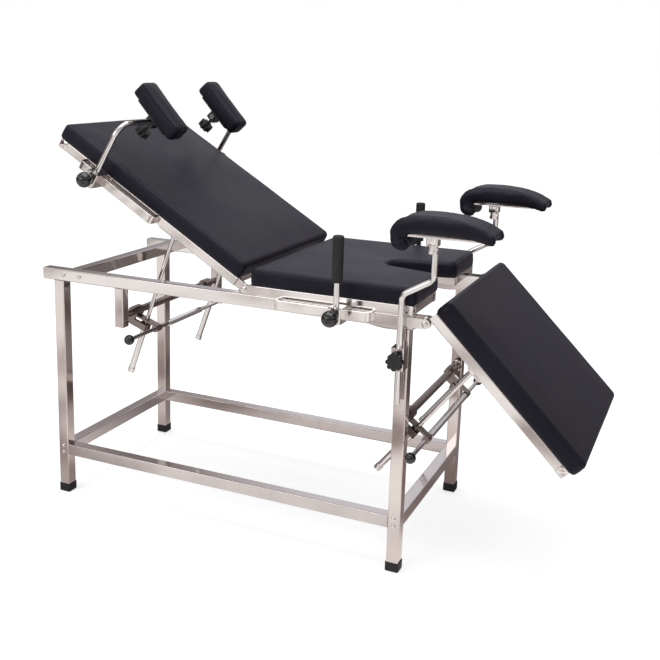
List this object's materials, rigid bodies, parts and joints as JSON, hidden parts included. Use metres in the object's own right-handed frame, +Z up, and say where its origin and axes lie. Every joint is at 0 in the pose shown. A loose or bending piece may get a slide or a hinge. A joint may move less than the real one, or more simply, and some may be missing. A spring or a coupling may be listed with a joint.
{
  "type": "examination bed",
  "caption": "Gynaecological examination bed: stainless frame, tilting back, cut-out seat, drop leg section, strut locks, padded shoulder and leg supports.",
  "frame": {"origin": "on the floor, under the centre of the outer box of the bed at rest", "axes": "+X towards the foot end, +Y towards the far side, +Z up"},
  "size_m": [1.6332, 0.824, 1.2838],
  "materials": {
    "polished_steel": "polished",
    "chromed_rod": "polished",
    "zinc_steel": "satin",
    "vinyl": "satin",
    "rubber": "matte",
    "black_gloss": "gloss",
    "black_matte": "matte"
  },
  "bodies": {
    "base": {"leg_head_near": "polished_steel", "leg_head_far": "polished_steel", "leg_foot_near": "polished_steel", "leg_foot_far": "polished_steel", "foot_caps": "rubber", "base_rail_near": "polished_steel", "base_rail_far": "polished_steel", "head_cross_tube": "polished_steel", "stretchers": "polished_steel", "lock_hangers": "polished_steel", "leg_hinge_forks": "polished_steel", "frame_bolts": "chromed_rod", "seat_side_tubes": "polished_steel", "seat_inner_tubes": "polished_steel", "seat_cushion": "vinyl", "seat_accessory_rails": "polished_steel", "support_clamps": "polished_steel"},
    "back_section": {"back_side_tubes": "polished_steel", "back_cross_tubes": "polished_steel", "back_cushion": "vinyl", "back_accessory_rails": "polished_steel"},
    "back_lock_body": {"back_lock": "chromed_rod"},
    "back_release": {"back_release_frame": "chromed_rod", "back_release_knobs": "black_gloss"},
    "back_rod_pair": {"back_rods": "chromed_rod"},
    "leg_section": {"leg_side_tubes": "polished_steel", "leg_cross_tubes": "polished_steel", "leg_cushion": "vinyl"},
    "leg_lock_body": {"leg_lock": "chromed_rod"},
    "leg_release": {"leg_release_frame": "chromed_rod", "leg_release_knobs": "black_gloss"},
    "leg_rod_pair": {"leg_rods": "chromed_rod"},
    "shoulder_clamp_near_body": {"shoulder_clamp_near": "polished_steel"},
    "shoulder_rod_near_body": {"shoulder_rod_near": "chromed_rod"},
    "shoulder_pad_near_body": {"shoulder_bracket_near": "zinc_steel", "shoulder_pad_near": "vinyl"},
    "shoulder_knob_near_body": {"shoulder_knob_near": "black_gloss"},
    "shoulder_star_near_body": {"shoulder_star_near": "black_matte"},
    "grip_clamp_near_body": {"grip_clamp_near": "polished_steel"},
    "grip_rod_near_body": {"grip_rod_near": "chromed_rod", "grip_sleeve_near": "rubber"},
    "grip_knob_near_body": {"grip_knob_near": "black_gloss"},
    "support_rod_near_body": {"support_rod_near": "chromed_rod"},
    "support_pad_near_body": {"support_plate_near": "polished_steel", "support_pad_near": "vinyl"},
    "support_knob_near_body": {"support_knob_near": "black_matte"},
    "shoulder_clamp_far_body": {"shoulder_clamp_far": "polished_steel"},
    "shoulder_rod_far_body": {"shoulder_rod_far": "chromed_rod"},
    "shoulder_pad_far_body": {"shoulder_bracket_far": "zinc_steel", "shoulder_pad_far": "vinyl"},
    "shoulder_knob_far_body": {"shoulder_knob_far": "black_gloss"},
    "shoulder_star_far_body": {"shoulder_star_far": "black_matte"},
    "grip_clamp_far_body": {"grip_clamp_far": "polished_steel"},
    "grip_rod_far_body": {"grip_rod_far": "chromed_rod", "grip_sleeve_far": "rubber"},
    "grip_knob_far_body": {"grip_knob_far": "black_gloss"},
    "support_rod_far_body": {"support_rod_far": "chromed_rod"},
    "support_pad_far_body": {"support_plate_far": "polished_steel", "support_pad_far": "vinyl"},
    "support_knob_far_body": {"support_knob_far": "black_matte"}
  },
  "joints": [
    {"name": "back_tilt", "type": "hinge", "parent": "base", "child": "back_section", "pos_m": [-0.12665, 0, 0.736], "axis": [0, 1, 0], "range_deg": [-31, 19]},
    {"name": "back_lock_swing", "type": "hinge", "parent": "base", "child": "back_lock_body", "pos_m": [-0.54265, 0, 0.6], "axis": [0, 1, 0], "range_deg": [-1.4, 0.9]},
    {"name": "back_rod_slide", "type": "slide", "parent": "back_lock_body", "child": "back_rod_pair", "axis": [0.3355, 0, 0.9421], "range_m": [-0.1725, 0.1058]},
    {"name": "back_release_tilt", "type": "hinge", "parent": "back_lock_body", "child": "back_release", "pos_m": [-0.54265, 0, 0.6], "axis": [0, 1, 0], "range_deg": [0, 5]},
    {"name": "leg_tilt", "type": "hinge", "parent": "base", "child": "leg_section", "pos_m": [0.39435, 0, 0.708], "axis": [0, 1, 0], "range_deg": [-45, 20]},
    {"name": "leg_lock_swing", "type": "hinge", "parent": "base", "child": "leg_lock_body", "pos_m": [0.33585, 0, 0.427], "axis": [0, 1, 0], "range_deg": [-2, 1]},
    {"name": "leg_rod_slide", "type": "slide", "parent": "leg_lock_body", "child": "leg_rod_pair", "axis": [0.6157, 0, 0.788], "range_m": [-0.062, 0.1393]},
    {"name": "leg_release_tilt", "type": "hinge", "parent": "leg_lock_body", "child": "leg_release", "pos_m": [0.33585, 0, 0.427], "axis": [0, 1, 0], "range_deg": [0, 5]},
    {"name": "shoulder_clamp_slide_near", "type": "slide", "parent": "back_section", "child": "shoulder_clamp_near_body", "axis": [-0.8572, 0, 0.515], "range_m": [-0.178, 0.039]},
    {"name": "shoulder_rod_slide_near", "type": "slide", "parent": "shoulder_clamp_near_body", "child": "shoulder_rod_near_body", "axis": [0.515, 0, 0.8572], "range_m": [-0.045, 0.02]},
    {"name": "shoulder_pad_tilt_near", "type": "hinge", "parent": "shoulder_rod_near_body", "child": "shoulder_pad_near_body", "pos_m": [-0.49389, -0.183, 1.17132], "axis": [0, 1, 0], "range_deg": [-45, 40]},
    {"name": "shoulder_knob_turn_near", "type": "hinge", "parent": "shoulder_clamp_near_body", "child": "shoulder_knob_near_body", "pos_m": [-0.58866, -0.364, 1.01361], "axis": [0, -1, 0], "continuous": true},
    {"name": "shoulder_star_turn_near", "type": "hinge", "parent": "shoulder_pad_near_body", "child": "shoulder_star_near_body", "pos_m": [-0.49389, -0.183, 1.17132], "axis": [-0.7478, 0, -0.6639], "continuous": true},
    {"name": "grip_clamp_slide_near", "type": "slide", "parent": "base", "child": "grip_clamp_near_body", "axis": [1, 0, 0], "range_m": [-0.157, 0.053]},
    {"name": "grip_rod_slide_near", "type": "slide", "parent": "grip_clamp_near_body", "child": "grip_rod_near_body", "axis": [0, 0, 1], "range_m": [-0.06, 0.025]},
    {"name": "grip_knob_turn_near", "type": "hinge", "parent": "grip_clamp_near_body", "child": "grip_knob_near_body", "pos_m": [0.16735, -0.364, 0.7115], "axis": [0, -1, 0], "continuous": true},
    {"name": "support_rod_slide_near", "type": "slide", "parent": "base", "child": "support_rod_near_body", "axis": [0, 0, 1], "range_m": [-0.08, 0.08]},
    {"name": "support_pad_swivel_near", "type": "hinge", "parent": "support_rod_near_body", "child": "support_pad_near_body", "pos_m": [0.41635, -0.322, 0.912], "axis": [0, 0, 1], "range_deg": [-60, 60]},
    {"name": "support_knob_turn_near", "type": "hinge", "parent": "base", "child": "support_knob_near_body", "pos_m": [0.33585, -0.34, 0.613], "axis": [0, -1, 0], "continuous": true},
    {"name": "shoulder_clamp_slide_far", "type": "slide", "parent": "back_section", "child": "shoulder_clamp_far_body", "axis": [-0.8572, 0, 0.515], "range_m": [-0.178, 0.039]},
    {"name": "shoulder_rod_slide_far", "type": "slide", "parent": "shoulder_clamp_far_body", "child": "shoulder_rod_far_body", "axis": [0.515, 0, 0.8572], "range_m": [-0.045, 0.02]},
    {"name": "shoulder_pad_tilt_far", "type": "hinge", "parent": "shoulder_rod_far_body", "child": "shoulder_pad_far_body", "pos_m": [-0.49389, 0.183, 1.17132], "axis": [0, 1, 0], "range_deg": [-45, 40]},
    {"name": "shoulder_knob_turn_far", "type": "hinge", "parent": "shoulder_clamp_far_body", "child": "shoulder_knob_far_body", "pos_m": [-0.58866, 0.364, 1.01361], "axis": [0, 1, 0], "continuous": true},
    {"name": "shoulder_star_turn_far", "type": "hinge", "parent": "shoulder_pad_far_body", "child": "shoulder_star_far_body", "pos_m": [-0.49389, 0.183, 1.17132], "axis": [-0.7478, 0, -0.6639], "continuous": true},
    {"name": "grip_clamp_slide_far", "type": "slide", "parent": "base", "child": "grip_clamp_far_body", "axis": [1, 0, 0], "range_m": [-0.157, 0.053]},
    {"name": "grip_rod_slide_far", "type": "slide", "parent": "grip_clamp_far_body", "child": "grip_rod_far_body", "axis": [0, 0, 1], "range_m": [-0.06, 0.025]},
    {"name": "grip_knob_turn_far", "type": "hinge", "parent": "grip_clamp_far_body", "child": "grip_knob_far_body", "pos_m": [0.16735, 0.364, 0.7115], "axis": [0, 1, 0], "continuous": true},
    {"name": "support_rod_slide_far", "type": "slide", "parent": "base", "child": "support_rod_far_body", "axis": [0, 0, 1], "range_m": [-0.08, 0.08]},
    {"name": "support_pad_swivel_far", "type": "hinge", "parent": "support_rod_far_body", "child": "support_pad_far_body", "pos_m": [0.41635, 0.322, 0.912], "axis": [0, 0, 1], "range_deg": [-60, 60]},
    {"name": "support_knob_turn_far", "type": "hinge", "parent": "base", "child": "support_knob_far_body", "pos_m": [0.33585, 0.34, 0.613], "axis": [0, 1, 0], "continuous": true}
  ],
  "couplings": [
    {"joint": "back_lock_swing", "follows": "back_tilt", "ratio": 0.0406},
    {"joint": "back_rod_slide", "follows": "back_tilt", "m_per_rad": 0.31864},
    {"joint": "leg_lock_swing", "follows": "leg_tilt", "ratio": 0.0421},
    {"joint": "leg_rod_slide", "follows": "leg_tilt", "m_per_rad": -0.17724}
  ]
}
